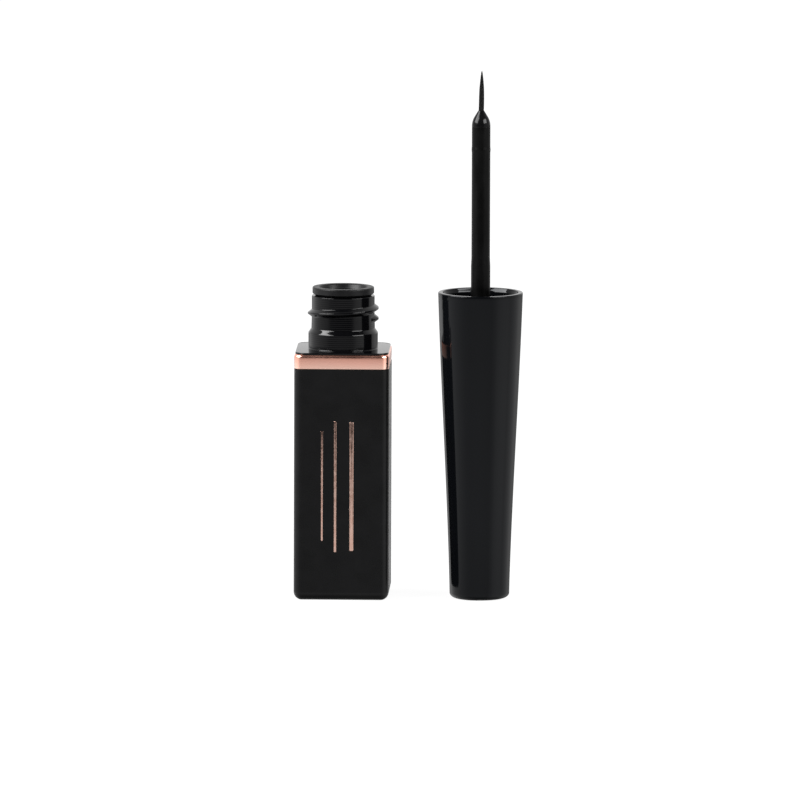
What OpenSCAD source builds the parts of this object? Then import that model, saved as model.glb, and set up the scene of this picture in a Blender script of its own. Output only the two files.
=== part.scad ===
// Liquid eyeliner bottle, with its brush cap taken off and stood beside it.
// Millimetres, +Z up. The origin is the middle of the bottle's base, on the ground.
// The cap stands upside down on its closed end, so its mouth and the brush point up.
// Closed, the cap's mouth rests on the bottle's shoulder and the brush hangs in the vial.

/* [Bottle] */
// Width and depth of the square bottle
body_w = 15.1; // [14:0.1:18]
// Height of the shoulder above the base
body_h = 39.65; // [34:0.05:50]
// Radius of the upright corners
corner_r = 1.4; // [0.6:0.1:2.4]
// Radius of the rounded edge around the base
base_edge_r = 1.3; // [0.3:0.1:1.4]
// Thickness of the walls of the sleeve and the band
sleeve_wall = 1.2; // [0.8:0.1:1.5]
// Thickness of the sleeve's floor
sleeve_floor = 1.2; // [0.8:0.1:2]
// Radius of the sleeve's inner corners
sleeve_inner_r = 0.5; // [0.2:0.1:1]

/* [Band] */
// Height of the metal band between the sleeve and the shoulder
band_h = 2.35; // [1:0.05:6]
// Radius of the band's rounded top edge
band_edge_r = 0.45; // [0.1:0.05:0.6]

/* [Vial] */
// Thickness of the vial's wall
vial_wall = 0.8; // [0.5:0.1:1.2]
// Thickness of the vial's floor
vial_floor = 0.9; // [0.6:0.1:1.6]
// Gap between the vial and the sleeve's sides
vial_gap = 0.1; // [0.05:0.05:0.4]
// Gap below the vial, which hangs from its shoulder
vial_lift = 0.3; // [0.1:0.1:0.8]
// Thickness of the vial's roof under the neck
roof_h = 1; // [0.6:0.1:1.6]
// Height of the shoulder plate's edge above the band
plate_h = 0.35; // [0.2:0.05:0.5]
// How far the shoulder plate is set in from the bottle's sides
plate_inset = 0.15; // [0.05:0.05:0.4]
// Radius of the shoulder plate's corners
plate_corner_r = 2; // [0.6:0.1:3]
// Empty height between the liquid and the roof
headspace = 3.3; // [0.5:0.1:12]
// Gap between the liquid and the vial's wall
liquid_gap = 0.05; // [0.02:0.01:0.1]

/* [Neck] */
// Diameter of the neck
neck_d = 10; // [9.4:0.1:10.4]
// Height of the neck above the shoulder
neck_h = 8.35; // [8:0.05:12]
// Thickness of the neck's wall
neck_wall = 1.3; // [0.9:0.1:1.5]
// Diameter of the collar at the foot of the neck
collar_d = 11.06; // [10.8:0.02:11.3]
// Height of the collar's upright side
collar_h = 2.4; // [1.5:0.05:2.6]
// Height of the slope from the collar to the neck
collar_slope_h = 0.75; // [0.5:0.05:0.9]
// Radius of the two soft bends of that slope
collar_bend_r = 0.3; // [0.1:0.05:0.4]
// Radius of the small fillet at the collar's foot
collar_foot_r = 0.22; // [0.1:0.02:0.3]

/* [Thread] */
// How far the thread stands out of the neck
thread_h = 0.65; // [0.4:0.05:0.8]
// Width of the thread where it leaves the wall
thread_w = 1.25; // [0.8:0.05:1.3]
// Width of the thread at its crest
thread_crest_w = 0.25; // [0.1:0.05:0.4]
// Rise of the thread in one turn
thread_pitch = 1.65; // [1.5:0.05:2.2]
// Number of turns
thread_turns = 1.3; // [1:0.05:1.8]
// Direction of the thread's lower end, from +X towards +Y
thread_start_deg = -30; // [-180:5:180]
// Height of the thread's lower end above the shoulder
thread_rise = 4.45; // [4.2:0.05:4.7]

/* [Wiper] */
// Diameter of the wiper's flange
wiper_flange_d = 9.8; // [9:0.1:10]
// Height of the wiper's flange
wiper_flange_h = 1.4; // [1:0.05:2]
// Width of the chamfer under the flange
wiper_lower_w = 0.55; // [0.2:0.05:0.6]
// Height of the chamfer under the flange
wiper_lower_h = 0.4; // [0.1:0.05:0.6]
// Radius of the flange's upper edge
wiper_upper_r = 0.2; // [0.1:0.05:0.35]
// Diameter of the dish in the wiper's top
wiper_dish_d = 7.7; // [7:0.1:8.6]
// Depth of the dish down to the throat
wiper_dish_h = 1.9; // [1:0.1:3]
// Length of the plug inside the neck
wiper_len = 7.8; // [6.4:0.1:8.6]
// Thickness of the plug's wall
wiper_wall = 0.7; // [0.5:0.05:0.9]
// Height of the wiping lip
wiper_lip_h = 0.8; // [0.4:0.1:1.2]
// Gap between the stem and the wiping lip
wiper_gap = 0.05; // [0.02:0.01:0.2]

/* [Cap] */
// Height of the cap
cap_h = 49; // [42:0.2:60]
// Diameter of the cap at its mouth
cap_mouth_d = 13.48; // [13.2:0.02:14.6]
// Diameter of the cap at its closed end, before the rounded edge
cap_end_d = 9.45; // [8.8:0.05:12]
// How far the cap's side swings away from a straight cone
cap_bow = 1.3; // [0:0.05:1.5]
// Share of the cap's height where its side crosses that cone
cap_turn_share = 0.66; // [0.6:0.01:0.8]
// Width of the rounded edge at the closed end
cap_edge_w = 1.6; // [0.6:0.1:2]
// Height of the rounded edge at the closed end
cap_edge_h = 0.95; // [0.4:0.05:1.4]
// Radius of the edges of the cap's rim
cap_rim_r = 0.14; // [0.05:0.01:0.2]
// Thickness of the cap's wall near its closed end
cap_wall = 1.2; // [0.8:0.1:1.8]
// Thickness of the closed end
cap_end_wall = 1.6; // [1.4:0.1:3]
// Radial gap between the neck's thread and the cap's bore
thread_clear = 0.1; // [0.05:0.01:0.15]
// Gap between the closed cap and the shoulder
closed_gap = 0.1; // [0.05:0.05:0.5]
// Gap between the bottle's side and the cap's mouth, as they stand
cap_gap = 7.6; // [2:0.1:40]
// How far the cap stands in front of the bottle's middle
cap_forward = 2.8; // [-10:0.1:10]

/* [Applicator] */
// Thickness of the sealing washer
washer_h = 0.6; // [0.4:0.05:1]
// Thickness of the holder's flange
holder_flange_h = 1; // [0.6:0.1:1.6]
// Length of the holder below its flange
holder_len = 10; // [7:0.5:14]
// Diameter of the holder below its flange
holder_d = 8.4; // [6:0.1:8.6]
// Thickness of the holder's floor under the stem
holder_floor = 1; // [0.6:0.1:2]
// How far the cap narrows below the holder, to carry it
holder_step = 0.4; // [0.2:0.1:0.8]
// Gap between pieces that are pressed together
press_gap = 0.02; // [0.01:0.01:0.05]
// Diameter of the stem near the cap
stem_root_d = 3.06; // [2.6:0.02:3.4]
// Diameter of the stem along its length
stem_d = 2.94; // [2.4:0.01:3]
// Height above the mouth where the stem narrows
stem_step_h = 4.6; // [2:0.1:8]
// Length of the taper from one diameter to the other
stem_taper_h = 0.5; // [0.2:0.1:1.5]
// How far the snap ring stands out of the stem's root
snap_h = 0.2; // [0.1:0.05:0.4]
// Length of each slope of the snap ring
snap_w = 0.4; // [0.2:0.1:0.8]
// Height of the small ring around the stem, above the stem's surface
bead_h = 0.06; // [0.02:0.01:0.15]
// Width of the small ring
bead_w = 0.4; // [0.2:0.05:0.8]

/* [Brush] */
// Length of the brush outside its nose
brush_len = 6.5; // [4:0.1:9]
// Diameter of the brush where it leaves the nose
tuft_d = 0.78; // [0.6:0.02:1]
// Steps of the strand pattern across the brush
tuft_rows = 15; // [15:1:16]
// Share of each pattern cell's width that its strand fills
strand_fill_share = 0.62; // [0.4:0.01:0.75]
// Share by which the strands draw together at the tip
draw_in_share = 0.45; // [0:0.01:0.6]
// Share of the brush's length by which its outermost strands are shorter
short_share = 0.5; // [0.2:0.01:0.7]
// Depth of the bristles inside the nose
root_depth = 0.6; // [0.3:0.1:1.2]
// Thickness of the slice that joins the bristles
backing_h = 0.5; // [0.3:0.1:1]
// Gap between the bristles and their socket
socket_gap = 0.02; // [0.01:0.01:0.05]
// Length of the glossy nose
nose_len = 2.5; // [2.2:0.1:4]
// Diameter of the nose's tip
nose_tip_d = 0.96; // [0.9:0.02:1.3]
// Angle of the nose's cone
nose_deg = 31.6; // [28:0.2:40]
// Radius of the bend from the nose's side to its cone
nose_bend_r = 1.5; // [0.5:0.1:1.8]
// Length of the nose's plug inside the stem
nose_plug_len = 3.7; // [2.5:0.1:6]
// Thickness of the stem's wall around that plug
stem_wall = 0.45; // [0.3:0.05:0.6]
// Height left between the brush's tip and the vial's floor when closed
tip_clear = 1.9; // [0.6:0.1:4]

/* [Hidden] */

// One overrun serves every cut and every ridge that sinks into a wall.
overrun = 0.3;
// Points that each short arc and each thread turn is drawn with.
arc_steps = 8;
turn_steps = 60;
side_steps = 24;
// Angle over which a thread grows from nothing to its full height.
fade_deg = 24;
// Share of its height by which a thread's ends sink into the wall.
thread_sink_share = 0.2;
// Depth to which a thread's flanks go on into the wall, and the share of the pitch that
// they may fill there, so that neighbouring turns stay apart.
thread_root_h = 0.2;
thread_root_share = 0.95;
$fn = 96;

// Heights and radii of the bottle side.
edge_r = min(base_edge_r, corner_r);
band_top = body_h - plate_h;
sleeve_h = band_top - band_h;
inner_w = body_w - 2 * sleeve_wall;
vial_r = inner_w / 2 - vial_gap;
vial_inner_r = vial_r - vial_wall;
vial_z = sleeve_floor + vial_lift;
hollow_z = vial_z + vial_floor;
roof_z = body_h - roof_h;
neck_r = neck_d / 2;
neck_bore_r = neck_r - neck_wall;
neck_top = body_h + neck_h;
wiper_top = neck_top + wiper_flange_h;
plug_r = neck_bore_r - press_gap;
throat_r = plug_r - wiper_wall;
thread_r = neck_r + thread_h;

// Heights and radii of the cap side, in the cap's own frame.
cap_mouth_r = cap_mouth_d / 2;
cap_end_r = cap_end_d / 2;
cap_bore_r = max(thread_r, collar_d / 2) + thread_clear;
cap_lead = (cap_mouth_r - cap_bore_r) / 4;
washer_z = cap_h - (neck_h + wiper_flange_h - closed_gap);
holder_top = washer_z - washer_h;
seat_z = holder_top - holder_flange_h;
holder_z = seat_z - holder_len;
holder_r = holder_d / 2;
stem_root_r = stem_root_d / 2;
stem_r = stem_d / 2;
lip_r = stem_root_r + wiper_gap;
snap_z = (holder_z + seat_z) / 2;
reach = body_h + closed_gap - hollow_z - tip_clear;
brush_z = cap_h + reach - brush_len;
nose_z = brush_z - nose_len;
plug_bore_r = stem_r - stem_wall;
bead_z = nose_z - nose_plug_len;
tuft_r = tuft_d / 2;
tuft_z = brush_z - root_depth - backing_h;

// Where the cap stands.
cap_x = body_w / 2 + cap_gap + cap_mouth_r;
cap_y = -cap_forward;

// Points of an arc around a centre, from one angle to another.
function arc(centre, rx, ry, from, to) = [
    for (k = [0 : arc_steps])
        let (a = from + (to - from) * k / arc_steps)
        centre + [rx * cos(a), ry * sin(a)]
];

// Outer radius of the cap at a height: a cone with a gentle S along it.
function cap_r(z) =
    let (s = z / cap_h)
    cap_end_r + (cap_mouth_r - cap_end_r) * s
    + cap_bow * s * (1 - s) * (s - cap_turn_share);

// A square outline with true round corners.
module rounded_square(w, r) {
    square([w, w - 2 * r], center = true);
    square([w - 2 * r, w], center = true);
    for (x = [-1, 1], y = [-1, 1])
        translate([x, y] * (w / 2 - r)) circle(r);
}

// The upright outline of a block whose two lower corners are round.
module footed_outline(w, h, r) {
    translate([-w / 2, r]) square([w, h - r]);
    translate([r - w / 2, 0]) square([w - 2 * r, h]);
    for (x = [-1, 1])
        translate([x * (w / 2 - r), r]) circle(r);
}

// A square block with round upright corners and a round edge at its foot.
module footed_block(w, h, r, foot_r) {
    run = w - 2 * r;
    for (turn = [0, 90])
        rotate([90, 0, turn])
            linear_extrude(run, center = true) footed_outline(w, h, foot_r);
    for (turn = [0 : 90 : 270])
        rotate(turn)
            translate([run / 2, run / 2])
                rotate_extrude(angle = 90)
                    intersection() {
                        translate([r - w / 2, 0]) footed_outline(w, h, foot_r);
                        square([r, h]);
                    }
}

// A helical ridge on a wall of radius root_r. It stands out to crest_r, which may lie
// inside or outside the wall, and both its ends fade into the wall.
module ridge(root_r, crest_r, start_deg, start_z) {
    side = sign(crest_r - root_r);
    sunk_r = root_r - side * thread_root_h;
    flare = (thread_w - thread_crest_w) * thread_root_h / abs(crest_r - root_r);
    sunk_w = min(thread_w + flare, thread_root_share * thread_pitch);
    steps = ceil(turn_steps * thread_turns);
    sweep = 360 * thread_turns;
    rings = [
        for (k = [0 : steps])
            let (
                a = sweep * k / steps,
                grown = min(1, a / fade_deg, (sweep - a) / fade_deg),
                top_r = root_r + (crest_r - root_r) * (grown - thread_sink_share * (1 - grown)),
                z = start_z + thread_pitch * a / 360,
                root_w = sunk_w * (1 + grown) / 4,
                crest_w = thread_crest_w * (1 + grown) / 4
            )
            for (p = [[sunk_r, -root_w], [top_r, -crest_w], [top_r, crest_w], [sunk_r, root_w]])
                [p[0] * cos(start_deg + a), p[0] * sin(start_deg + a), z + p[1]]
    ];
    sides = [
        for (k = [0 : steps - 1], c = [0 : 3])
            let (d = (c + 1) % 4, n = 4 * k)
            each side > 0
                ? [[n + c, n + d, n + 4 + d], [n + c, n + 4 + d, n + 4 + c]]
                : [[n + c, n + 4 + d, n + d], [n + c, n + 4 + c, n + 4 + d]]
    ];
    last = 4 * steps;
    ends = side > 0
        ? [[0, 2, 1], [0, 3, 2], [last, last + 1, last + 2], [last, last + 2, last + 3]]
        : [[0, 1, 2], [0, 2, 3], [last, last + 2, last + 1], [last, last + 3, last + 2]];
    polyhedron(points = rings, faces = concat(sides, ends));
}

// Matte black square sleeve, closed at its base.
module outer_sleeve() {
    color("#1d1d1f")
        difference() {
            footed_block(body_w, sleeve_h, corner_r, edge_r);
            translate([0, 0, sleeve_floor])
                linear_extrude(sleeve_h) rounded_square(inner_w, sleeve_inner_r);
        }
}

// Rose-gold band that stands on the sleeve and carries the shoulder. Its top edge is round.
module gold_band() {
    color("#c08a78")
        translate([0, 0, sleeve_h])
            difference() {
                translate([0, 0, band_h])
                    mirror([0, 0, 1])
                        footed_block(body_w, band_h, corner_r, min(band_edge_r, corner_r));
                translate([0, 0, -overrun])
                    linear_extrude(band_h + 2 * overrun) rounded_square(inner_w, sleeve_inner_r);
            }
}

// Upright outline of the collar and the neck, from the shoulder up.
module neck_outline() {
    collar_r = collar_d / 2;
    slope_top = collar_h + collar_slope_h;
    slope_deg = atan((collar_r - neck_r) / collar_slope_h);
    bend_h = collar_bend_r * tan(slope_deg / 2);
    polygon(concat(
        [[0, -roof_h], [collar_r + collar_foot_r, -roof_h]],
        arc([collar_r + collar_foot_r, collar_foot_r], collar_foot_r, collar_foot_r, 270, 180),
        arc([collar_r - collar_bend_r, collar_h - bend_h], collar_bend_r, collar_bend_r, 0, slope_deg),
        arc(
            [neck_r + collar_bend_r, slope_top + bend_h], collar_bend_r, collar_bend_r,
            180 + slope_deg, 180
        ),
        [[neck_r, neck_h], [0, neck_h]]
    ));
}

// Glossy black vial with its shoulder plate, collar and threaded neck, in one moulding.
module inner_vial() {
    color("#141416") {
        difference() {
            union() {
                translate([0, 0, vial_z])
                    cylinder(r = vial_r, h = body_h - plate_h / 2 - vial_z);
                translate([0, 0, band_top])
                    linear_extrude(plate_h)
                        rounded_square(body_w - 2 * plate_inset, plate_corner_r);
                translate([0, 0, body_h]) rotate_extrude() neck_outline();
                ridge(neck_r, thread_r, thread_start_deg, body_h + thread_rise);
            }
            translate([0, 0, hollow_z])
                cylinder(r = vial_inner_r, h = roof_z - hollow_z);
            translate([0, 0, roof_z - overrun])
                cylinder(r = neck_bore_r, h = neck_top + 2 * overrun - roof_z);
        }
    }
}

// Plug pressed into the neck: flange, dish, throat and the lip that wipes the stem.
module wiper() {
    flange_r = wiper_flange_d / 2;
    foot_z = neck_top - wiper_len;
    lip_top = foot_z + wiper_lip_h;
    funnel_h = throat_r - lip_r;
    edge_centre = [flange_r - wiper_upper_r, wiper_top - wiper_upper_r];
    color("#1a1b1d")
        rotate_extrude()
            polygon(concat(
                [[lip_r, foot_z], [lip_r + wiper_wall, foot_z]],
                [[plug_r, lip_top + funnel_h], [plug_r, neck_top]],
                [[flange_r - wiper_lower_w, neck_top], [flange_r, neck_top + wiper_lower_h]],
                arc(edge_centre, wiper_upper_r, wiper_upper_r, 0, 90),
                [[wiper_dish_d / 2, wiper_top], [throat_r, wiper_top - wiper_dish_h]],
                [[throat_r, lip_top + funnel_h], [lip_r, lip_top]]
            ));
}

// The liquid, standing on the vial's floor.
module eyeliner_liquid() {
    color("#0b0b0c")
        translate([0, 0, hollow_z])
            cylinder(r = vial_inner_r - liquid_gap, h = roof_z - headspace - hollow_z);
}

// Upright outline of the cap's shell, from its closed end to its mouth.
module cap_outline() {
    hollow_end_r = cap_r(cap_end_wall) - cap_wall;
    edge_centre = [cap_r(cap_edge_h) - cap_edge_w, cap_edge_h];
    rim_z = cap_h - cap_rim_r;
    polygon(concat(
        [[0, 0]],
        arc(edge_centre, cap_edge_w, cap_edge_h, -90, 0),
        [
            for (k = [1 : side_steps])
                let (z = cap_edge_h + (rim_z - cap_edge_h) * k / side_steps)
                [cap_r(z), z]
        ],
        arc([cap_r(rim_z) - cap_rim_r, rim_z], cap_rim_r, cap_rim_r, 0, 90),
        arc([cap_bore_r + cap_lead + cap_rim_r, rim_z], cap_rim_r, cap_rim_r, 90, 180),
        [
            [cap_bore_r, rim_z - cap_lead], [cap_bore_r, seat_z],
            [holder_r + press_gap, seat_z], [holder_r + press_gap, holder_z],
            [holder_r - holder_step, holder_z], [hollow_end_r, cap_end_wall],
            [0, cap_end_wall],
        ]
    ));
}

// Tapered glossy black cap, with the thread that takes the neck.
module outer_cap() {
    // Closed, this thread lies half a pitch nearer the shoulder than the neck's thread.
    thread_depth = thread_rise + thread_pitch * (thread_turns - 1 / 2) - closed_gap;
    color("#161618")
        translate([cap_x, cap_y, 0]) {
            rotate_extrude() cap_outline();
            ridge(
                cap_bore_r, cap_bore_r - thread_h + 2 * thread_clear, thread_start_deg,
                cap_h - thread_depth
            );
        }
}

// Plug pressed into the cap, which holds the stem and carries the washer.
module stem_holder() {
    bore_r = stem_root_r + press_gap;
    snap_r = bore_r + snap_h;
    color("#2a2a2c")
        translate([cap_x, cap_y, 0])
            rotate_extrude()
                polygon([
                    [0, holder_z], [holder_r, holder_z], [holder_r, seat_z],
                    [cap_bore_r - thread_clear, seat_z], [cap_bore_r - thread_clear, holder_top],
                    [bore_r, holder_top], [bore_r, snap_z + snap_w], [snap_r, snap_z],
                    [bore_r, snap_z - snap_w], [bore_r, holder_z + holder_floor],
                    [0, holder_z + holder_floor],
                ]);
}

// Soft ring on the holder, which closes on the wiper's flange.
module sealing_washer() {
    color("#3a3a3c")
        translate([cap_x, cap_y, holder_top])
            difference() {
                cylinder(r = cap_bore_r - thread_clear, h = washer_h);
                translate([0, 0, -overrun])
                    cylinder(r = stem_root_r + press_gap, h = washer_h + 2 * overrun);
            }
}

// The long dull rod, with its snap ring in the holder and a bore at its top for the nose.
module applicator_stem() {
    step_z = cap_h + stem_step_h;
    color("#191919")
        translate([cap_x, cap_y, 0])
            rotate_extrude()
                polygon([
                    [0, holder_z + holder_floor], [stem_root_r, holder_z + holder_floor],
                    [stem_root_r, snap_z - snap_w], [stem_root_r + snap_h, snap_z],
                    [stem_root_r, snap_z + snap_w], [stem_root_r, step_z],
                    [stem_r, step_z + stem_taper_h], [stem_r, bead_z - bead_w / 2],
                    [stem_r + bead_h, bead_z], [stem_r, bead_z + bead_w / 2],
                    [stem_r, nose_z], [plug_bore_r, nose_z],
                    [plug_bore_r, nose_z - nose_plug_len], [0, nose_z - nose_plug_len],
                ]);
}

// Glossy nose: a plug in the stem's top, a bent cone above it and the socket of the brush.
module brush_ferrule() {
    cone_r = stem_r - nose_bend_r * (1 - cos(nose_deg));
    tip_r = nose_tip_d / 2;
    cone_h = (cone_r - tip_r) / tan(nose_deg);
    bend_z = brush_z - cone_h - nose_bend_r * sin(nose_deg);
    socket_r = tuft_r + socket_gap;
    color("#0e0e10")
        translate([cap_x, cap_y, 0])
            rotate_extrude()
                polygon(concat(
                    [[0, nose_z - nose_plug_len], [plug_bore_r - press_gap, nose_z - nose_plug_len]],
                    [[plug_bore_r - press_gap, nose_z], [stem_r, nose_z]],
                    arc([stem_r - nose_bend_r, bend_z], nose_bend_r, nose_bend_r, 0, nose_deg),
                    [[tip_r, brush_z], [socket_r, brush_z], [socket_r, tuft_z], [0, tuft_z]]
                ));
}

// The bristles stand on a triangular pattern, one to each cell, on a thin backing slice.
// A cell is [i, j, kind]: kind 0 is a triangle that points along +Y, kind 1 one that points back.
cell_w = tuft_d / tuft_rows;
cell_row_h = cell_w * sqrt(3) / 2;
cell_reach = tuft_r - cell_w / sqrt(3);
rows = ceil(tuft_rows / 2) + 1;

function corner_xy(i, j) = [cell_w * (i + j / 2), cell_row_h * j];
function cell_corners(c) =
    c[2] == 0
        ? [[c[0], c[1]], [c[0] + 1, c[1]], [c[0], c[1] + 1]]
        : [[c[0] + 1, c[1]], [c[0] + 1, c[1] + 1], [c[0], c[1] + 1]];
function cell_xy(c) =
    let (p = cell_corners(c))
    (corner_xy(p[0][0], p[0][1]) + corner_xy(p[1][0], p[1][1]) + corner_xy(p[2][0], p[2][1])) / 3;
function in_tuft(c) = norm(cell_xy(c)) <= cell_reach;
// The cell across each side of a cell, in the order of its corners.
function neighbours(c) =
    c[2] == 0
        ? [[c[0], c[1] - 1, 1], [c[0], c[1], 1], [c[0] - 1, c[1], 1]]
        : [[c[0] + 1, c[1], 0], [c[0], c[1] + 1, 0], [c[0], c[1], 0]];

// How far in the strands have drawn at a height above the nose.
function drawn_in(z) = 1 - draw_in_share * pow(max(0, z) / brush_len, 2);
// Height of a strand's tip above the nose, for a strand that stands at xy.
function strand_h(xy) = brush_len * (1 - short_share * pow(norm(xy) / tuft_r, 3));

module brush_tuft() {
    span = 2 * rows + 1;
    cells = [
        for (j = [-rows : rows - 1], i = [-rows : rows - 1], kind = [0, 1])
            if (in_tuft([i, j, kind])) [i, j, kind]
    ];
    // Shares of a strand's height at its rings, and of its width there.
    ring_shares = [0, 0.45, 0.8];
    width_shares = [1, 0.9, 0.6];
    rings = len(ring_shares);
    per_strand = 3 * rings + 1;
    root_z = tuft_z + backing_h;
    grid = [
        for (z = [tuft_z, root_z], j = [-rows : rows], i = [-rows : rows])
            concat(corner_xy(i, j), z)
    ];
    strands = [
        for (c = cells)
            let (
                xy = cell_xy(c),
                p = cell_corners(c),
                tip = strand_h(xy),
                whole = tip + root_depth
            )
            each concat(
                [
                    for (r = [0 : rings - 1], k = [0 : 2])
                        let (
                            up = whole * ring_shares[r] - root_depth,
                            arm = corner_xy(p[k][0], p[k][1]) - xy,
                            wide = strand_fill_share * width_shares[r]
                        )
                        concat((xy + arm * wide) * drawn_in(up), brush_z + up)
                ],
                [concat(xy * drawn_in(tip), brush_z + tip)]
            )
    ];
    first = len(grid);
    faces = [
        for (n = [0 : len(cells) - 1])
            let (
                c = cells[n],
                p = cell_corners(c),
                low = [for (q = p) (q[1] + rows) * span + q[0] + rows],
                high = [for (q = low) q + span * span],
                s = first + n * per_strand,
                across = neighbours(c)
            )
            each concat(
                [low],
                [
                    for (k = [0 : 2])
                        let (m = (k + 1) % 3)
                        each concat(
                            [[high[k], s + k, s + m], [high[k], s + m, high[m]]],
                            in_tuft(across[k])
                                ? []
                                : [[low[k], high[k], high[m]], [low[k], high[m], low[m]]],
                            [
                                for (r = [0 : rings - 2])
                                    let (a = s + 3 * r)
                                    each [
                                        [a + k, a + 3 + k, a + 3 + m],
                                        [a + k, a + 3 + m, a + m],
                                    ]
                            ],
                            [[s + 3 * (rings - 1) + k, s + 3 * rings, s + 3 * (rings - 1) + m]]
                        )
                ]
            )
    ];
    echo(strands = len(cells));
    color("#101012")
        translate([cap_x, cap_y, 0]) polyhedron(points = concat(grid, strands), faces = faces);
}

outer_sleeve();
gold_band();
inner_vial();
wiper();
eyeliner_liquid();
outer_cap();
stem_holder();
sealing_washer();
applicator_stem();
brush_ferrule();
brush_tuft();
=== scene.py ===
"""Looks of a liquid eyeliner bottle and its brush cap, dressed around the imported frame.

Metres, +Z up. The bottle stands on the origin and the cap stands on its closed end beside it.
"""
import math
import random

import bmesh
import bpy
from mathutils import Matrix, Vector


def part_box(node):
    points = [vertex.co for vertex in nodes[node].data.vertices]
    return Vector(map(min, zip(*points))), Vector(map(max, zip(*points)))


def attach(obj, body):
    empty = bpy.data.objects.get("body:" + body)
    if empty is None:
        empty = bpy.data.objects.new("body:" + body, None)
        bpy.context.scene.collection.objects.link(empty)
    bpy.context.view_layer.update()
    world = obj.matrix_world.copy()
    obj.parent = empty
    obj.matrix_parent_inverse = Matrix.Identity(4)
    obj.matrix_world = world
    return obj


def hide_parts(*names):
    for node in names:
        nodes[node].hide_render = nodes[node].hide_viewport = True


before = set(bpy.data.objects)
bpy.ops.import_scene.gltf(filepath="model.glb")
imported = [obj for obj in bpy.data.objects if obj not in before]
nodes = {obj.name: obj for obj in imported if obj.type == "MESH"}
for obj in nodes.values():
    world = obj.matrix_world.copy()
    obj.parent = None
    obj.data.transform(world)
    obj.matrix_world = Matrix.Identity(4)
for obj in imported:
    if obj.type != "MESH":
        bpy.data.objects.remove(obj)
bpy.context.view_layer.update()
random.seed(7)

MM = 0.001
TINY = 1e-9

# Places that the pieces share, read from the frame.
body_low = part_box("outer_sleeve")[0]
band_low, band_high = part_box("gold_band")
vial_low, vial_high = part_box("inner_vial")
wiper_low, wiper_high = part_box("wiper")
cap_low, cap_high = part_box("outer_cap")
stem_low, stem_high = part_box("applicator_stem")
nose_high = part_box("brush_ferrule")[1]
tuft_low, tuft_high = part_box("brush_tuft")
bottle_centre = Vector((0, 0))
cap_centre = Vector(((cap_low[0] + cap_high[0]) / 2, (cap_low[1] + cap_high[1]) / 2))
shoulder_z = 39.65 * MM
cap_h = cap_high[2]
thread_pitch = 1.65 * MM
thread_turns = 1.3
thread_start_deg = -30


# Shapes.

def softened(corners, steps=6, support=0.03 * MM, most_cut_share=0.45):
    """Points of an outline whose corners are round. A corner is (x, y, its radius).

    A round corner cuts no more than a share of either side. A support point on each side of it
    keeps the flat there from shading as if it were round.
    """
    points = []
    least_turn = 1e-4
    for k, (x, y, radius) in enumerate(corners):
        here = Vector((x, y))
        if radius == 0 or k == 0 or k == len(corners) - 1:
            points.append(here)
            continue
        back = Vector(corners[k - 1][:2]) - here
        ahead = Vector(corners[k + 1][:2]) - here
        half = back.angle(ahead) / 2
        cut = min(
            radius / math.tan(half), most_cut_share * back.length, most_cut_share * ahead.length
        )
        radius = cut * math.tan(half)
        back.normalize()
        ahead.normalize()
        centre = here + (back + ahead).normalized() * radius / math.sin(half)
        first = here + back * cut - centre
        last = here + ahead * cut - centre
        span = max(math.pi - 2 * half, least_turn)
        points.append(centre + first + back * min(support, cut / 4))
        for step in range(steps + 1):
            share = step / steps
            arm = first * math.sin((1 - share) * span) + last * math.sin(share * span)
            points.append(centre + arm / math.sin(span))
        points.append(centre + last + ahead * min(support, cut / 4))
    return points


def arc(x, y, wide, high, start_deg, end_deg, steps=8):
    """Points of an arc around (x, y), wide and high being its two radii."""
    turns = [math.radians(start_deg + (end_deg - start_deg) * k / steps) for k in range(steps + 1)]
    return [Vector((x + wide * math.cos(a), y + high * math.sin(a))) for a in turns]


def circle(centre, radius, z, angles):
    """A loop of points around a centre, or one point where the radius is nothing."""
    if radius < TINY:
        return [Vector((centre[0], centre[1], z))]
    return [
        Vector((centre[0] + radius * math.cos(a), centre[1] + radius * math.sin(a), z))
        for a in angles
    ]


def even_angles(count):
    return [2 * math.pi * k / count for k in range(count)]


def loft(name, loops, closed=False, smooth=True):
    """A skin through loops of points. A loop of one point closes an end."""
    mesh = bpy.data.meshes.new(name)
    verts = []
    starts = []
    for loop in loops:
        starts.append(len(verts))
        verts.extend(loop)
    faces = []
    pairs = list(zip(range(len(loops) - 1), range(1, len(loops))))
    if closed:
        pairs.append((len(loops) - 1, 0))
    for low, high in pairs:
        count = max(len(loops[low]), len(loops[high]))
        for k in range(count):
            m = (k + 1) % count
            corners = []
            for loop, turn in ((low, k), (low, m), (high, m), (high, k)):
                at = starts[loop] + (turn if len(loops[loop]) > 1 else 0)
                if at not in corners:
                    corners.append(at)
            if len(corners) > 2:
                faces.append(corners)
    mesh.from_pydata([tuple(v) for v in verts], [], faces)
    work = bmesh.new()
    work.from_mesh(mesh)
    bmesh.ops.recalc_face_normals(work, faces=work.faces)
    for face in work.faces:
        face.smooth = smooth
    work.to_mesh(mesh)
    work.free()
    piece = bpy.data.objects.new(name, mesh)
    bpy.context.scene.collection.objects.link(piece)
    return piece


def spun(name, outline, centre, count=160, closed=False):
    """An outline of (radius, height) points turned around an upright axis."""
    angles = even_angles(count)
    return loft(name, [circle(centre, r, z, angles) for r, z in outline], closed)


def joined(name, *parts):
    """Several meshes as one object, each still a closed skin of its own."""
    work = bmesh.new()
    for part in parts:
        work.from_mesh(part.data)
        old = part.data
        bpy.data.objects.remove(part)
        bpy.data.meshes.remove(old)
    mesh = bpy.data.meshes.new(name)
    work.to_mesh(mesh)
    work.free()
    piece = bpy.data.objects.new(name, mesh)
    bpy.context.scene.collection.objects.link(piece)
    return piece


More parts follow.
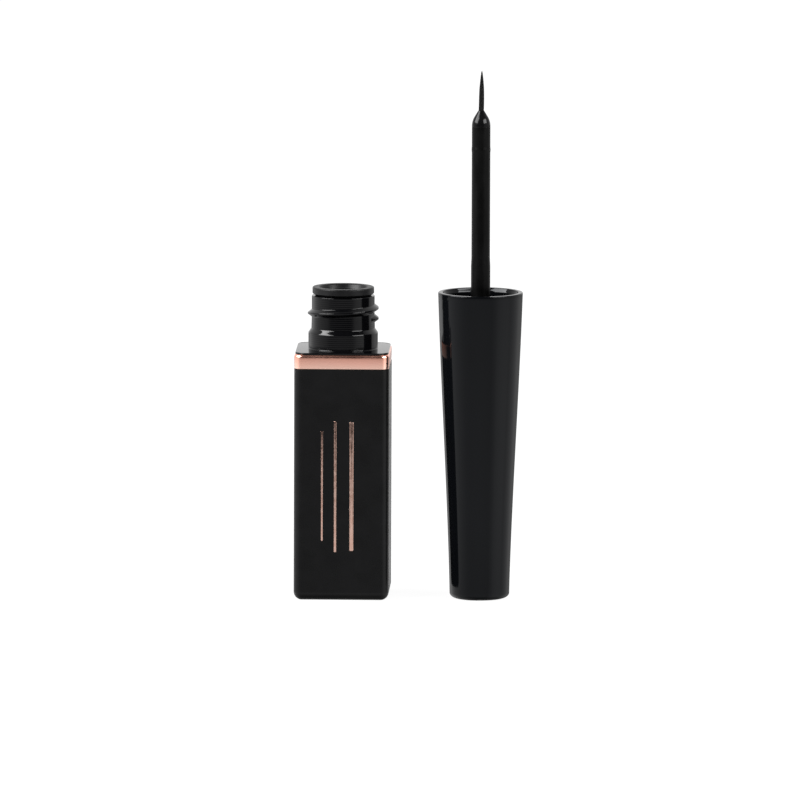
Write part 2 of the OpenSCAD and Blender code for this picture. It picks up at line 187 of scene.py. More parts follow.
def ridge(name, centre, root_r, crest_r, start_deg, start_z, pitch, turns):
    """A helical ridge with a soft crest and hollow flanks, whose ends fade into the wall."""
    per_turn = 150
    fade_deg = 24.0
    sunk_share = 0.2
    side = 1 if crest_r > root_r else -1
    sunk_r = root_r - side * 0.2 * MM
    wall_r = root_r - side * 0.004 * MM
    root_w = 1.25 * MM
    crest_w = 0.25 * MM
    foot_w = 0.16 * MM
    hollow_r = 0.22 * MM
    crest_edge_r = 0.13 * MM
    steps = math.ceil(per_turn * turns)
    sweep = 360 * turns
    loops = []
    for step in range(steps + 1):
        turn = sweep * step / steps
        grown = min(1, turn / fade_deg, (sweep - turn) / fade_deg)
        top = root_r + (crest_r - root_r) * (grown * (1 + sunk_share) - sunk_share)
        half_crest = crest_w * (1 + grown) / 4
        half_root = root_w * (1 + grown) / 4
        flank = [
            (sunk_r, half_root + foot_w, 0),
            (wall_r, half_root + foot_w, 0),
            (wall_r, half_root, hollow_r),
            (top, half_crest, crest_edge_r),
        ]
        below = [(r, -z, edge_r) for r, z, edge_r in flank]
        outline = softened(below + flank[::-1], steps=4)
        angle = math.radians(start_deg + turn)
        z = start_z + pitch * turn / 360
        loops.append([
            Vector((
                centre[0] + p[0] * math.cos(angle),
                centre[1] + p[0] * math.sin(angle),
                z + p[1],
            ))
            for p in outline
        ])
    middle = [sum(loops[k], Vector()) / len(loops[k]) for k in (0, -1)]
    return loft(name, [[middle[0]]] + loops + [[middle[1]]])


def square_loop(width, radius, z, corner_steps=14, side_steps=26):
    """A loop round a square with round corners, from the middle of its +X side."""
    half = width / 2
    reach = half - radius
    half_steps = side_steps // 2
    quarter = []
    for k in range(half_steps):
        quarter.append((half, reach * k / half_steps))
    for k in range(corner_steps):
        a = math.pi / 2 * k / corner_steps
        quarter.append((reach + radius * math.cos(a), reach + radius * math.sin(a)))
    for k in range(half_steps):
        quarter.append((reach - reach * k / half_steps, half))
    loop = []
    for turn in range(4):
        a = math.pi / 2 * turn
        for x, y in quarter:
            loop.append(Vector((
                x * math.cos(a) - y * math.sin(a),
                x * math.sin(a) + y * math.cos(a),
                z,
            )))
    return loop


# Materials.

def surface(
    name, dark, light, grain, rough, rough_spread, bump, stretch=(1, 1, 1), fine=7.0, **sockets
):
    """A material whose colour, gloss and height vary with a coarse and a fine grain.

    grain is the size of the coarse pattern, and fine how many times smaller the fine one is.
    bump is the fine grain's strength and its height.
    """
    from_grey = 0.3
    to_grey = 0.7
    mat = bpy.data.materials.new(name)
    mat.use_nodes = True
    tree = mat.node_tree
    shader = tree.nodes["Principled BSDF"]

    def add(kind, **values):
        node = tree.nodes.new(kind)
        for key, value in values.items():
            if key in node.inputs:
                node.inputs[key].default_value = value
            else:
                setattr(node, key, value)
        return node

    link = tree.links.new
    place = add("ShaderNodeTexCoord")
    scaled = add("ShaderNodeMapping", Scale=stretch)
    coarse = add("ShaderNodeTexNoise", Scale=1 / grain, Detail=3.0, Roughness=0.55)
    small = add("ShaderNodeTexNoise", Scale=fine / grain, Detail=2.0, Roughness=0.5)
    ramp = add("ShaderNodeValToRGB")
    ramp.color_ramp.elements[0].position = from_grey
    ramp.color_ramp.elements[1].position = to_grey
    ramp.color_ramp.elements[0].color = (*dark, 1)
    ramp.color_ramp.elements[1].color = (*light, 1)
    gloss = add("ShaderNodeMapRange")
    gloss.inputs["From Min"].default_value = from_grey
    gloss.inputs["From Max"].default_value = to_grey
    gloss.inputs["To Min"].default_value = rough - rough_spread
    gloss.inputs["To Max"].default_value = rough + rough_spread
    height = add("ShaderNodeBump", Strength=bump[0], Distance=bump[1])
    link(place.outputs["Object"], scaled.inputs["Vector"])
    link(scaled.outputs["Vector"], coarse.inputs["Vector"])
    link(scaled.outputs["Vector"], small.inputs["Vector"])
    link(coarse.outputs["Fac"], ramp.inputs["Fac"])
    link(coarse.outputs["Fac"], gloss.inputs["Value"])
    link(small.outputs["Fac"], height.inputs["Height"])
    link(ramp.outputs["Color"], shader.inputs["Base Color"])
    link(gloss.outputs["Result"], shader.inputs["Roughness"])
    link(height.outputs["Normal"], shader.inputs["Normal"])
    for key, value in sockets.items():
        shader.inputs[key.replace("_", " ")].default_value = value
    return mat


matte_coat = surface(
    "matte_coat", dark=(0.0018, 0.0018, 0.0019), light=(0.0026, 0.0026, 0.0028), grain=3 * MM,
    rough=0.28, rough_spread=0.03, bump=(0.12, 0.02 * MM), fine=14.0, IOR=1.245,
)
rose_foil = surface(
    "rose_foil", dark=(0.93, 0.56, 0.46), light=(0.97, 0.62, 0.52), grain=6 * MM,
    rough=0.24, rough_spread=0.04, bump=(0.25, 0.012 * MM), stretch=(1, 1, 2.5), fine=2.0,
    Metallic=1.0,
)
print_foil = surface(
    "print_foil", dark=(0.6, 0.36, 0.29), light=(0.74, 0.5, 0.42), grain=0.6 * MM,
    rough=0.28, rough_spread=0.05, bump=(0.2, 0.01 * MM), Metallic=1.0,
)
neck_black = surface(
    "neck_black", dark=(0.0008, 0.0008, 0.001), light=(0.0013, 0.0013, 0.0016), grain=5 * MM,
    rough=0.1, rough_spread=0.02, bump=(0.05, 0.02 * MM), IOR=1.3,
)
cap_lacquer = surface(
    "cap_lacquer", dark=(0.0009, 0.001, 0.0013), light=(0.0014, 0.0016, 0.002), grain=9 * MM,
    rough=0.08, rough_spread=0.02, bump=(0.04, 0.02 * MM), stretch=(1, 1, 0.3), IOR=1.235,
    Specular_Tint=(0.96, 0.98, 1.0, 1),
)
wiper_plastic = surface(
    "wiper_plastic", dark=(0.0028, 0.0028, 0.003), light=(0.0042, 0.0042, 0.0045), grain=2 * MM,
    rough=0.36, rough_spread=0.04, bump=(0.08, 0.02 * MM), IOR=1.23,
)
stem_plastic = surface(
    "stem_plastic", dark=(0.0007, 0.0007, 0.0007), light=(0.0018, 0.0018, 0.0018),
    grain=1.6 * MM, rough=0.3, rough_spread=0.06, bump=(0.3, 0.03 * MM), stretch=(1, 1, 0.35),
    IOR=1.15,
)
wet_black = surface(
    "wet_black", dark=(0.0015, 0.0015, 0.0016), light=(0.0026, 0.0026, 0.0028), grain=1.2 * MM,
    rough=0.12, rough_spread=0.03, bump=(0.08, 0.02 * MM), IOR=1.22,
)
bristle_fibre = surface(
    "bristle_fibre", dark=(0.0012, 0.0012, 0.0012), light=(0.004, 0.0039, 0.0038),
    grain=0.12 * MM, rough=0.42, rough_spread=0.08, bump=(0.2, 0.005 * MM),
    stretch=(1, 1, 0.12), IOR=1.3,
)
holder_plastic = surface(
    "holder_plastic", dark=(0.018, 0.018, 0.0195), light=(0.027, 0.027, 0.029), grain=3 * MM,
    rough=0.38, rough_spread=0.06, bump=(0.1, 0.02 * MM), IOR=1.47,
)
washer_foam = surface(
    "washer_foam", dark=(0.03, 0.03, 0.031), light=(0.055, 0.055, 0.057), grain=0.5 * MM,
    rough=0.85, rough_spread=0.08, bump=(0.6, 0.05 * MM), Specular_IOR_Level=0.3,
)
liquid_black = surface(
    "liquid_black", dark=(0.003, 0.003, 0.003), light=(0.005, 0.005, 0.005), grain=5 * MM,
    rough=0.05, rough_spread=0.02, bump=(0.03, 0.02 * MM), IOR=1.34,
)


def tint_by_height(mat, stops):
    """Multiply a material's colour by tints given at heights in metres."""
    tree = mat.node_tree
    shader = tree.nodes["Principled BSDF"]
    base = shader.inputs["Base Color"].links[0].from_socket
    place = tree.nodes.new("ShaderNodeTexCoord")
    split = tree.nodes.new("ShaderNodeSeparateXYZ")
    share = tree.nodes.new("ShaderNodeMapRange")
    share.inputs["From Min"].default_value = stops[0][0]
    share.inputs["From Max"].default_value = stops[-1][0]
    tints = tree.nodes.new("ShaderNodeValToRGB")
    elements = tints.color_ramp.elements
    while len(elements) < len(stops):
        elements.new(0.5)
    for element, (height, tint) in zip(elements, stops):
        element.position = (height - stops[0][0]) / (stops[-1][0] - stops[0][0])
        element.color = (*tint, 1)
    both = tree.nodes.new("ShaderNodeMix")
    both.data_type = "RGBA"
    both.blend_type = "MULTIPLY"
    both.inputs[0].default_value = 1
    link = tree.links.new
    link(place.outputs["Object"], split.inputs["Vector"])
    link(split.outputs["Z"], share.inputs["Value"])
    link(share.outputs["Result"], tints.inputs["Fac"])
    link(base, both.inputs[6])
    link(tints.outputs["Color"], both.inputs[7])
    link(both.outputs[2], shader.inputs["Base Color"])


def ringed(mat, pitch, height):
    """Add fine level rings to a material's surface, as turned on the mould."""
    tree = mat.node_tree
    shader = tree.nodes["Principled BSDF"]
    before = shader.inputs["Normal"].links[0].from_socket
    place = tree.nodes.new("ShaderNodeTexCoord")
    wave = tree.nodes.new("ShaderNodeTexWave")
    wave.bands_direction = "Z"
    wave.inputs["Scale"].default_value = math.pi / (10 * pitch)
    relief = tree.nodes.new("ShaderNodeBump")
    relief.inputs["Strength"].default_value = 1
    relief.inputs["Distance"].default_value = height
    link = tree.links.new
    link(place.outputs["Object"], wave.inputs["Vector"])
    link(wave.outputs["Fac"], relief.inputs["Height"])
    link(before, relief.inputs["Normal"])
    link(relief.outputs["Normal"], shader.inputs["Normal"])


ringed(neck_black, pitch=0.32 * MM, height=0.0025 * MM)

# Painted shade: the band's foil is tinted darker and a deeper rose towards its top edge, standing
# in for the darker surroundings that face reflects there.
band_shade_turn_h = 1.1 * MM
tint_by_height(rose_foil, (
    (band_low[2], (0.96, 1.0, 1.0)),
    (band_low[2] + band_shade_turn_h, (1.0, 0.88, 0.85)),
    (band_high[2], (1.0, 0.76, 0.68)),
))


def dress(piece, mat):
    piece.data.materials.clear()
    piece.data.materials.append(mat)


def finish_piece(piece, mat, body, slot_name, *replaced):
    dress(piece, mat)
    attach(piece, body)
    if replaced:
        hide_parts(*replaced)


dress(nodes["outer_sleeve"], matte_coat)
dress(nodes["eyeliner_liquid"], liquid_black)
dress(nodes["stem_holder"], holder_plastic)
dress(nodes["sealing_washer"], washer_foam)


# The bottle.

# The band: a square ring whose face leans in a little at its foot and whose top edge is round.
corner_r = 1.4 * MM
band_half = band_high[0]
band_lean = 0.054 * MM
band_edge_w = 0.35 * MM
band_edge_h = 0.45 * MM
band_edge_z = band_high[2] - band_edge_h
band_inner_half = 6.35 * MM
band_inner_r = 0.5 * MM
face_steps = 8
band_points = []
for k in range(face_steps + 1):
    share = k / face_steps
    inset = band_lean * (1 - share) ** 2
    z = band_low[2] + (band_edge_z - band_low[2]) * share
    band_points.append(Vector((band_half - inset, z)))
band_points += arc(band_half - band_edge_w, band_edge_z, band_edge_w, band_edge_h, 0, 90)[1:]
band_loops = [
    square_loop(2 * p[0], corner_r - band_half + p[0], p[1]) for p in band_points
]
for z in (band_high[2], band_low[2]):
    band_loops.append(square_loop(2 * band_inner_half, band_inner_r, z))
band_ring = loft("band_ring", band_loops, closed=True)
finish_piece(band_ring, rose_foil, "bottle", "rose_gold", "gold_band")

# The shoulder plate, collar, neck and vial are one moulding: square loops, then round ones.
plate_half = band_half - 0.15 * MM
plate_r = 2.0 * MM
plate_z = band_high[2]
plate_sag = 0.055 * MM
plate_edge_z = shoulder_z - plate_sag
plate_foot_r = 0.04 * MM
plate_edge_r = 0.1 * MM
plate_under_w = 1.2 * MM
plate_rings = (0.3 * MM, 0.7 * MM, 1.1 * MM)
roof_z = 38.65 * MM
collar_r = 5.53 * MM
collar_h = 2.5 * MM
collar_foot_w = 0.57 * MM
collar_foot_z = shoulder_z - 0.03 * MM
collar_foot_drop = 0.01 * MM
collar_foot_r = 0.12 * MM
collar_slope_h = 0.65 * MM
collar_edge_r = 0.27 * MM
neck_r = 5.0 * MM
neck_taper = 0.058 * MM
neck_taper_h = 2.1 * MM
neck_taper_r = 0.3 * MM
neck_top = vial_high[2]
neck_edge_r = 0.06 * MM
bore_r = 3.7 * MM
vial_r = 6.25 * MM
vial_foot_r = 0.4 * MM
vial_inner_r = 5.45 * MM
vial_roof_r = 0.3 * MM
hollow_z = 2.4 * MM
hollow_r = 0.8 * MM
loop_size = len(square_loop(2 * plate_half, plate_r, 0))
round_angles = even_angles(loop_size)


def plate_loop(half, z):
    """A loop of the plate, whose top sinks a little with the distance from the middle."""
    loop = square_loop(2 * half, plate_r - plate_half + half, z)
    if z > plate_edge_z:
        for p in loop:
            p[2] = shoulder_z - plate_sag * (p[0] ** 2 + p[1] ** 2) / plate_half ** 2
    return loop


edge_points = softened(
    [
        (plate_half - plate_under_w, plate_z, 0),
        (plate_half, plate_z, plate_foot_r),
        (plate_half, plate_edge_z, plate_edge_r),
        (plate_half - plate_rings[0], plate_edge_z, 0),
    ]
)
plate_loops = [plate_loop(*p) for p in edge_points[:-1]]
plate_loops += [plate_loop(plate_half - inset, shoulder_z) for inset in plate_rings]
slope_z = shoulder_z + collar_h + collar_slope_h
neck_points = softened(
    [
        (collar_r + collar_foot_w, collar_foot_z - collar_foot_drop, 0),
        (collar_r, collar_foot_z, collar_foot_r),
        (collar_r, shoulder_z + collar_h, collar_edge_r),
        (neck_r + neck_taper, slope_z, collar_edge_r),
        (neck_r, slope_z + neck_taper_h, neck_taper_r),
        (neck_r, neck_top, neck_edge_r),
        (bore_r, neck_top, neck_edge_r),
        (bore_r, roof_z, 0),
        (vial_inner_r, roof_z, vial_roof_r),
        (vial_inner_r, hollow_z, hollow_r),
        (0, hollow_z, 0),
    ]
)
under_points = softened(
    [
        (0, vial_low[2], 0),
        (vial_r, vial_low[2], vial_foot_r),
        (vial_r, plate_z, 0),
    ]
)
moulding_loops = [circle(bottle_centre, r, z, round_angles) for r, z in under_points]
moulding_loops += plate_loops
moulding_loops += [circle(bottle_centre, r, z, round_angles) for r, z in neck_points]
moulding = loft("neck_body", moulding_loops)
thread_h = 0.65 * MM
neck_thread_z = shoulder_z + 4.57 * MM
neck_ridge = ridge(
    "neck_ridge", bottle_centre, neck_r, neck_r + thread_h, thread_start_deg, neck_thread_z,
    thread_pitch, thread_turns,
)
neck_moulding = joined("neck_moulding", moulding, neck_ridge)
finish_piece(neck_moulding, neck_black, "bottle", "gloss_black", "inner_vial")

# The wiper: a flange over the neck's rim, a dished top, a throat and the lip.
plug_r = 3.68 * MM
throat_r = 2.98 * MM
throat_turn_r = 0.3 * MM
lip_r = 1.58 * MM
lip_w = 0.7 * MM
lip_h = 0.8 * MM
lip_edge_r = 0.1 * MM
flange_r = 4.9 * MM
flange_slope_w = 0.55 * MM
flange_slope_h = 0.4 * MM
flange_slope_r = 0.12 * MM
flange_edge_r = 0.2 * MM
flange_foot_z = neck_top + 0.005 * MM
flange_root_r = 0.02 * MM
flange_under_r = 0.05 * MM
dish_r = 3.85 * MM
dish_wall_w = 0.36 * MM
dish_wall_h = 0.75 * MM
dish_low_w = 0.38 * MM
dish_low_h = 1.4 * MM
dish_h = 2.2 * MM
dish_wall_r = 0.1 * MM
dish_turn_r = 0.3 * MM
foot_z = wiper_low[2]
lip_top = foot_z + lip_h
funnel_z = lip_top + throat_r - lip_r
wiper_top = wiper_high[2]
wiper_points = softened(
    [
        (lip_r, foot_z, 0),
        (lip_r + lip_w, foot_z, lip_edge_r),
        (plug_r, funnel_z, throat_turn_r),
        (plug_r, flange_foot_z, flange_root_r),
        (flange_r - flange_slope_w, flange_foot_z, flange_under_r),
        (flange_r, neck_top + flange_slope_h, flange_slope_r),
        (flange_r, wiper_top, flange_edge_r),
        (dish_r, wiper_top, dish_turn_r),
        (dish_r - dish_wall_w, wiper_top - dish_wall_h, dish_wall_r),
        (dish_r - dish_low_w, wiper_top - dish_low_h, dish_turn_r),
        (throat_r, wiper_top - dish_h, throat_turn_r),
        (throat_r, funnel_z, throat_turn_r),
        (lip_r, lip_top, lip_edge_r),
        (lip_r, foot_z, 0),
    ]
)[:-1]
wiper_plug = spun("wiper_plug", wiper_points, bottle_centre, closed=True)
finish_piece(wiper_plug, wiper_plastic, "bottle", "wiper_black", "wiper")


# Three plain foil lines run up the front of the sleeve.
def foil_line(name, x, z_low, z_high, width):
    """An upright line of foil with round corners, just proud of the sleeve's front."""
    face_y = body_low[1]
    rise = 0.02 * MM
    edge_rise_share = 0.7
    top_share = 0.96
    end_share = 0.002
    soft = width * 0.3
    outline = []
    for cx, cz, start in (
        (x + width / 2 - soft, z_low + soft, -90),
        (x + width / 2 - soft, z_high - soft, 0),
        (x - width / 2 + soft, z_high - soft, 90),
        (x - width / 2 + soft, z_low + soft, 180),
    ):
        for k in range(7):
            a = math.radians(start + 15 * k)
            outline.append((cx + soft * math.cos(a), cz + soft * math.sin(a)))
    middle = Vector((x, face_y - rise, (z_low + z_high) / 2))
    loops = [
        [Vector((px, face_y + rise, pz)) for px, pz in outline],
        [Vector((px, face_y - rise * edge_rise_share, pz)) for px, pz in outline],
        [
            Vector((x + (px - x) * top_share, face_y - rise, pz + (middle[2] - pz) * end_share))
            for px, pz in outline
        ],
    ]
    back = Vector((x, face_y + rise, middle[2]))
    piece = loft(name, [[back]] + loops + [[middle]])
    finish_piece(piece, print_foil, "bottle", "rose_gold")


foil_line("foil_line_wide", x=1.65 * MM, z_low=8.0 * MM, z_high=28.6 * MM, width=0.62 * MM)
foil_line("foil_line_middle", x=-0.95 * MM, z_low=7.8 * MM, z_high=28.7 * MM, width=0.36 * MM)
foil_line("foil_line_narrow", x=-3.05 * MM, z_low=9.6 * MM, z_high=27.1 * MM, width=0.26 * MM)


# The cap.

cap_mouth_r = 6.74 * MM
cap_end_r = 4.725 * MM
cap_bow = 1.3 * MM
cap_turn_share = 0.66


def cap_r(z):
    """The cap's radius at a height: a straight taper with a slight S-bow."""
    s = z / cap_h
    lean = cap_bow * s * (1 - s) * (s - cap_turn_share)
    return cap_end_r + (cap_mouth_r - cap_end_r) * s + lean


edge_w = 1.4 * MM
edge_h = 0.9 * MM
cap_bore_r = 5.75 * MM
cap_lead = (cap_mouth_r - cap_bore_r) / 4
cap_lead_h = 1.8 * cap_lead
cap_lead_r = 2.0 * MM
holder_r = 4.22 * MM
holder_ledge_w = 0.42 * MM
seat_z = 37.75 * MM
seat_edge_r = 0.05 * MM
holder_z = 27.75 * MM
ledge_edge_r = 0.1 * MM
end_wall = 1.6 * MM
end_side_w = 1.2 * MM
end_inner_r = 0.5 * MM
side_steps = 96
rim_r = 0.14 * MM
rim_z = cap_h - rim_r
cap_outline = [Vector((0, 0))]
cap_outline += arc(cap_r(edge_h) - edge_w, edge_h, edge_w, edge_h, -90, 0, steps=24)
for k in range(1, side_steps + 1):
    z = edge_h + (rim_z - edge_h) * k / side_steps
    cap_outline.append(Vector((cap_r(z), z)))
cap_outline += arc(cap_r(rim_z) - rim_r, rim_z, rim_r, rim_r, 0, 90)[1:]
cap_outline += arc(cap_bore_r + cap_lead + rim_r, rim_z, rim_r, rim_r, 90, 180)
cap_outline += softened(
    [
        (cap_bore_r + cap_lead, rim_z, 0),
        (cap_bore_r, rim_z - cap_lead_h, cap_lead_r),
        (cap_bore_r, seat_z, seat_edge_r),
        (holder_r, seat_z, seat_edge_r),
        (holder_r, holder_z, seat_edge_r),
        (holder_r - holder_ledge_w, holder_z, ledge_edge_r),
        (cap_r(end_wall) - end_side_w, end_wall, end_inner_r),
        (0, end_wall, 0),
    ]
)[1:]
cap_body = spun("cap_body", cap_outline, cap_centre, count=192)
cap_thread_r = 5.3 * MM
cap_thread_z = cap_h - 5.67 * MM
cap_ridge = ridge(
    "cap_ridge", cap_centre, cap_bore_r, cap_thread_r, thread_start_deg, cap_thread_z,
    thread_pitch, thread_turns,
)
cap_shell = joined("cap_shell", cap_body, cap_ridge)
finish_piece(cap_shell, cap_lacquer, "cap", "cap_black", "outer_cap")

# The stem: a long rod that steps in above the mouth and carries a fine ring.
root_r = 1.53 * MM
root_foot_r = 0.15 * MM
rod_r = 1.47 * MM
step_z = cap_h + 4.6 * MM
step_low_h = 0.4 * MM
step_high_h = 0.9 * MM
step_r = 4.0 * MM
snap_z = (holder_z + seat_z) / 2
snap_h = 0.4 * MM
snap_rise = 0.2 * MM
snap_r = 0.1 * MM
nose_z = stem_high[2]
nose_hold = 0.03 * MM
tang_h = 3.7 * MM
tang_bore_r = 1.02 * MM
tang_edge_r = 0.02 * MM
bead_z = nose_z - 3.7 * MM
bead_h = 0.5 * MM
bead_rise = 0.045 * MM
bead_r = 1.0 * MM
stem_points = softened(
    [
        (0, stem_low[2], 0),
        (root_r, stem_low[2], root_foot_r),
        (root_r, snap_z - snap_h, snap_r),
        (root_r + snap_rise, snap_z, snap_r),
        (root_r, snap_z + snap_h, snap_r),
        (root_r, step_z - step_low_h, step_r),
        (rod_r, step_z + step_high_h, step_r),
        (rod_r, bead_z - bead_h, bead_r),
        (rod_r + bead_rise, bead_z, bead_r),
        (rod_r, bead_z + bead_h, bead_r),
        (rod_r, nose_z - nose_hold, 0),
        (rod_r, nose_z, 0),
        (tang_bore_r, nose_z, tang_edge_r),
        (tang_bore_r, nose_z - tang_h, 0),
        (0, nose_z - tang_h, 0),
    ]
)
stem_rod = spun("stem_rod", stem_points, cap_centre, count=96)
finish_piece(stem_rod, stem_plastic, "cap", "stem_black", "applicator_stem")

# The glossy nose that holds the brush.
brush_z = nose_high[2]
tip_r = 0.48 * MM
nose_cone_deg = 31.6
nose_bend_r = 2.7 * MM
nose_bend_steps = 10
nose_tip_edge_r = 0.1 * MM
tang_gap = 0.02 * MM
tang_r = tang_bore_r - tang_gap
tang_end_r = 0.1 * MM
socket_r = 0.44 * MM
socket_lead = 0.02 * MM
tuft_z = tuft_low[2]
cone_z = brush_z - (rod_r - tip_r) / math.tan(math.radians(nose_cone_deg))
bend_z = cone_z - nose_bend_r * math.tan(math.radians(nose_cone_deg / 2))
nose_arc = arc(
    rod_r - nose_bend_r, bend_z, nose_bend_r, nose_bend_r, 0, nose_cone_deg, nose_bend_steps
)
nose_points = softened(
    [
        (0, nose_z - tang_h + tang_gap, 0),
        (tang_r, nose_z - tang_h + tang_gap, tang_end_r),
        (tang_r, nose_z, tang_edge_r),
        (rod_r, nose_z, 0),
        (rod_r, nose_z + nose_hold, 0),
        *[(p[0], p[1], 0) for p in nose_arc],
        (tip_r, brush_z, nose_tip_edge_r),
        (socket_r, brush_z - socket_lead, socket_lead),
        (socket_r, tuft_z, 0),
        (0, tuft_z, 0),
    ]
)
nose_cone = spun("nose_cone", nose_points, cap_centre, count=96)
finish_piece(nose_cone, wet_black, "cap", "nose_black", "brush_ferrule")

# The brush: fine strands that draw together, each a bent and tapered tube of its own.
brush_len = tuft_high[2] - brush_z
tuft_r = 0.43 * MM
strand_count = 520
strand_rings = 9
strand_sides = 5
strand_r = 0.018 * MM
strand_taper_share = 0.6
root_depth = 0.5 * MM
short_share = 0.42
uneven_share = 0.03
clump_turn = 0.25
belly_share = 0.15
drawn_share = 0.6
tip_lean = 0.09 * MM
golden = math.pi * (3 - math.sqrt(5))
verts = []
faces = []
for n in range(strand_count):
    share = math.sqrt((n + 0.5) / strand_count)
    base_a = golden * n
    reach = brush_len * (1 - short_share * share ** 3) * (1 - uneven_share * random.random())
    clump_a = base_a + clump_turn * math.sin(5 * base_a + 3 * share)
    out_r = (tuft_r - 1.3 * strand_r) * share
    first = len(verts)
    for ring in range(strand_rings + 1):
        t = ring / strand_rings
        up = -root_depth + (reach + root_depth) * t
        height_share = max(0, up) / brush_len
        drawn = 1 + belly_share * height_share - drawn_share * height_share ** 2
        lean = tip_lean * math.sqrt(height_share)
        a = base_a + (clump_a - base_a) * height_share
        mid = Vector((
            cap_centre[0] + out_r * drawn * math.cos(a) + lean,
            cap_centre[1] + out_r * drawn * math.sin(a),
            brush_z + up,
        ))
        if ring == strand_rings:
            verts.append(mid)
            continue
        wide = strand_r * (1 - strand_taper_share * t ** 3)
        for side in range(strand_sides):
            b = base_a + 2 * math.pi * side / strand_sides
            verts.append(mid + Vector((wide * math.cos(b), wide * math.sin(b), 0)))
    for ring in range(strand_rings - 1):
        for side in range(strand_sides):
            k = first + ring * strand_sides + side
            m = first + ring * strand_sides + (side + 1) % strand_sides
            faces.append((k, m, m + strand_sides, k + strand_sides))
    low = first + (strand_rings - 1) * strand_sides
    for side in range(strand_sides):
        faces.append((low + side, low + (side + 1) % strand_sides, low + strand_sides))
    faces.append([first + side for side in reversed(range(strand_sides))])
mesh = bpy.data.meshes.new("brush_strands")
mesh.from_pydata([tuple(v) for v in verts], [], faces)
for face in mesh.polygons:
    face.use_smooth = True
brush_strands = bpy.data.objects.new("brush_strands", mesh)
bpy.context.scene.collection.objects.link(brush_strands)
finish_piece(brush_strands, bristle_fibre, "cap", "bristle_black", "brush_tuft")


# The studio.

# The floor is a pale paper disc that glows faintly, so that it comes out plain white.
floor_radii = (0, 0.5, 3.5)
floor = loft("floor", [circle((0, 0), r, 0, even_angles(64)) for r in floor_radii])
floor_mat = surface(
    "floor_paper", dark=(0.05, 0.05, 0.05), light=(0.06, 0.06, 0.06), grain=50 * MM,
    rough=0.9, rough_spread=0.03, bump=(0.02, 0.1 * MM), Specular_IOR_Level=0.0,
    Emission_Color=(1, 1, 1, 1), Emission_Strength=0.93,
)
dress(floor, floor_mat)
floor.visible_glossy = False

world = bpy.data.worlds.new("studio")
bpy.context.scene.world = world
world.use_nodes = True
tree = world.node_tree


def node(kind, **values):
    made = tree.nodes.new(kind)
    for key, value in values.items():
        if key in made.inputs:
            made.inputs[key].default_value = value
        else:
            setattr(made, key, value)
    return made


def level_ramp(stops):
    """A ramp of grey levels, each given at a place from -180 at its start to 180 at its end."""
    ramp = node("ShaderNodeValToRGB")
    elements = ramp.color_ramp.elements
    while len(elements) < len(stops):
        elements.new(0.5)
    for element, (degrees, level) in zip(elements, stops):
        element.position = (degrees + 180) / 360
        element.color = (level, level, level, 1)
    return ramp


link = tree.links.new


def mixed(low, high, share, blend="MIX"):
    """The colour between two colours, each a socket or a grey level, by a share."""
    mix = node("ShaderNodeMix", data_type="RGBA", blend_type=blend)
    for at, source in ((6, low), (7, high), (0, share)):
        if isinstance(source, bpy.types.NodeSocket):
            link(source, mix.inputs[at])
        elif at:
            mix.inputs[at].default_value = (source, source, source, 1)
        else:
            mix.inputs[at].default_value = source
    return mix.outputs[2]


def share_between(socket, low, high):
    """How far a value lies from low to high, as a share."""
    span = node("ShaderNodeMapRange")
    span.inputs["From Min"].default_value = low
    span.inputs["From Max"].default_value = high
    link(socket, span.inputs["Value"])
    return span.outputs["Result"]


place = node("ShaderNodeTexCoord")
split = node("ShaderNodeSeparateXYZ")
link(place.outputs["Generated"], split.inputs["Vector"])
along_y = split.outputs["Y"]
upward = split.outputs["Z"]
flipped = node("ShaderNodeMath", operation="MULTIPLY")
flipped.inputs[1].default_value = -1
link(along_y, flipped.inputs[0])
around = node("ShaderNodeMath", operation="ARCTAN2")
link(split.outputs["X"], around.inputs[0])
link(flipped.outputs["Value"], around.inputs[1])
turn_share = share_between(around.outputs["Value"], -math.pi, math.pi)

# What lies round the object below the horizon and above it, by the turn in degrees from the
# camera's side, with +X at 90. What lies overhead goes from the front at -180 to the back at 180.
# What lies below is scaled by its depth, from straight down at -180 to straight up at 180.
low_ramp = level_ramp((
    (-180, 1.5), (-172, 0.25), (-160, 0.35), (-150, 0.6), (-140, 1.0), (-126, 1.1), (-95, 1.05),
    (-80, 1.0), (-65, 0.86), (-45, 0.66), (-30, 0.62), (0, 0.64), (34, 0.62), (45, 0.8),
    (52, 1.0), (60, 1.1), (72, 1.12), (85, 1.0), (93, 0.8), (110, 0.8), (124, 0.76),
    (134, 0.7), (145, 0.45), (158, 0.25), (172, 0.25), (180, 1.5),
))
high_ramp = level_ramp((
    (-180, 1.0), (-130, 1.0), (-100, 0.9), (-70, 0.8), (-56, 0.6), (-46, 0.12), (-38, 0.03),
    (0, 0.02), (28, 0.03), (36, 0.2), (46, 0.8), (70, 0.9), (100, 0.9), (130, 1.0), (180, 1.0),
))
top_ramp = level_ramp((
    (-180, 0.04), (-20, 0.05), (20, 0.3), (70, 0.7), (180, 1.0),
))
depth_ramp = level_ramp((
    (-180, 0.4), (-140, 0.7), (-90, 1.4), (-40, 1.5), (-22.5, 1.0), (-2, 0.84), (20, 0.8),
))
link(turn_share, low_ramp.inputs["Fac"])
link(turn_share, high_ramp.inputs["Fac"])
link(share_between(along_y, -1, 1), top_ramp.inputs["Fac"])
link(share_between(upward, -1, 1), depth_ramp.inputs["Fac"])
low_level = mixed(low_ramp.outputs["Color"], depth_ramp.outputs["Color"], 1.0, "MULTIPLY")
rise_share = share_between(upward, -0.107, -0.08)
overhead_share = share_between(upward, 0.5, 0.8)
level = mixed(low_level, high_ramp.outputs["Color"], rise_share)
level = mixed(level, top_ramp.outputs["Color"], overhead_share)
sky = tree.nodes["Background"]
seen = node("ShaderNodeLightPath")
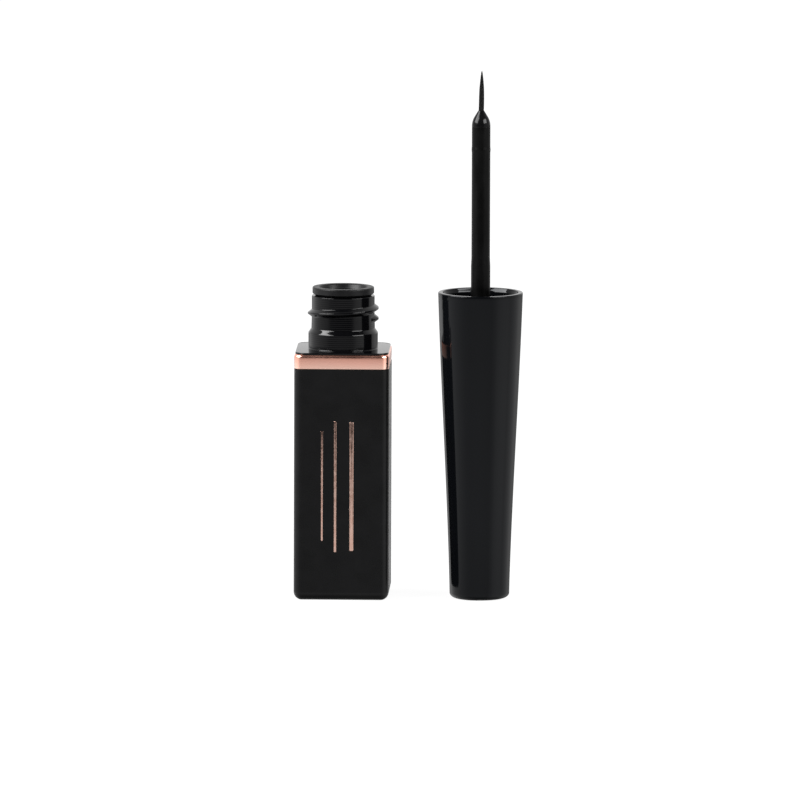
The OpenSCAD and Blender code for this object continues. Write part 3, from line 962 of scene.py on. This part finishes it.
plain = node("ShaderNodeBackground", Color=(1, 1, 1, 1), Strength=1.0)
either = node("ShaderNodeMixShader")
link(level, sky.inputs["Color"])
link(seen.outputs["Is Camera Ray"], either.inputs["Fac"])
link(sky.outputs["Background"], either.inputs[1])
link(plain.outputs["Background"], either.inputs[2])
link(either.outputs["Shader"], tree.nodes["World Output"].inputs["Surface"])


def softbox(name, turn_deg, lift_deg, wide_deg, high_deg, radiance, far=1.2):
    """A soft panel that aims at the object. turn_deg goes from the camera's side towards +X."""
    light = bpy.data.lights.new(name, "AREA")
    light.shape = "RECTANGLE"
    light.size = 2 * far * math.tan(math.radians(wide_deg / 2))
    light.size_y = 2 * far * math.tan(math.radians(high_deg / 2))
    light.energy = radiance * math.pi * light.size * light.size_y
    panel = bpy.data.objects.new(name, light)
    turn = math.radians(turn_deg)
    lift = math.radians(lift_deg)
    away = Vector((
        math.sin(turn) * math.cos(lift), -math.cos(turn) * math.cos(lift), math.sin(lift)
    ))
    aim = Vector((9 * MM, 0, 40 * MM))
    panel.location = aim + away * far
    panel.rotation_mode = "QUATERNION"
    panel.rotation_quaternion = away.to_track_quat("Z", "Y")
    panel.visible_camera = False
    bpy.context.scene.collection.objects.link(panel)


softbox("softbox_left", turn_deg=-68, lift_deg=34, wide_deg=44, high_deg=38, radiance=18)
softbox("softbox_right", turn_deg=58, lift_deg=27, wide_deg=40, high_deg=24, radiance=15)

# An even light from above keeps the floor white and its shadows faint.
dome = bpy.data.lights.new("dome", "SUN")
dome.energy = 3.0
dome.angle = math.radians(150)
dome_lamp = bpy.data.objects.new("dome", dome)
dome_lamp.location = (0, 0, 2)
dome_lamp.visible_glossy = False
bpy.context.scene.collection.objects.link(dome_lamp)

# The camera stands far off, as the photograph's flat view asks.
camera_turn_deg = 1.8
camera_lift_deg = 7.2
camera_roll_deg = 0.19
target = Vector((9.07 * MM, 0, 31.27 * MM))
far = 3.0
frame_w = 127.2 * MM
camera = bpy.data.cameras.new("camera")
camera.sensor_width = 36
camera.lens = camera.sensor_width * far / frame_w
camera.clip_start = 0.1
camera.clip_end = 20
eye = bpy.data.objects.new("camera", camera)
bpy.context.scene.collection.objects.link(eye)
turn = math.radians(camera_turn_deg)
lift = math.radians(camera_lift_deg)
back = Vector((
    math.sin(turn) * math.cos(lift), -math.cos(turn) * math.cos(lift), math.sin(lift)
))
eye.location = target + back * far
eye.rotation_mode = "QUATERNION"
eye.rotation_quaternion = (-back).to_track_quat("-Z", "Y")
eye.rotation_mode = "XYZ"
eye.rotation_euler.rotate_axis("Z", math.radians(camera_roll_deg))
bpy.context.scene.camera = eye

bpy.context.scene.view_settings.view_transform = "Standard"
bpy.context.scene.view_settings.look = "None"

bpy.context.view_layer.update()
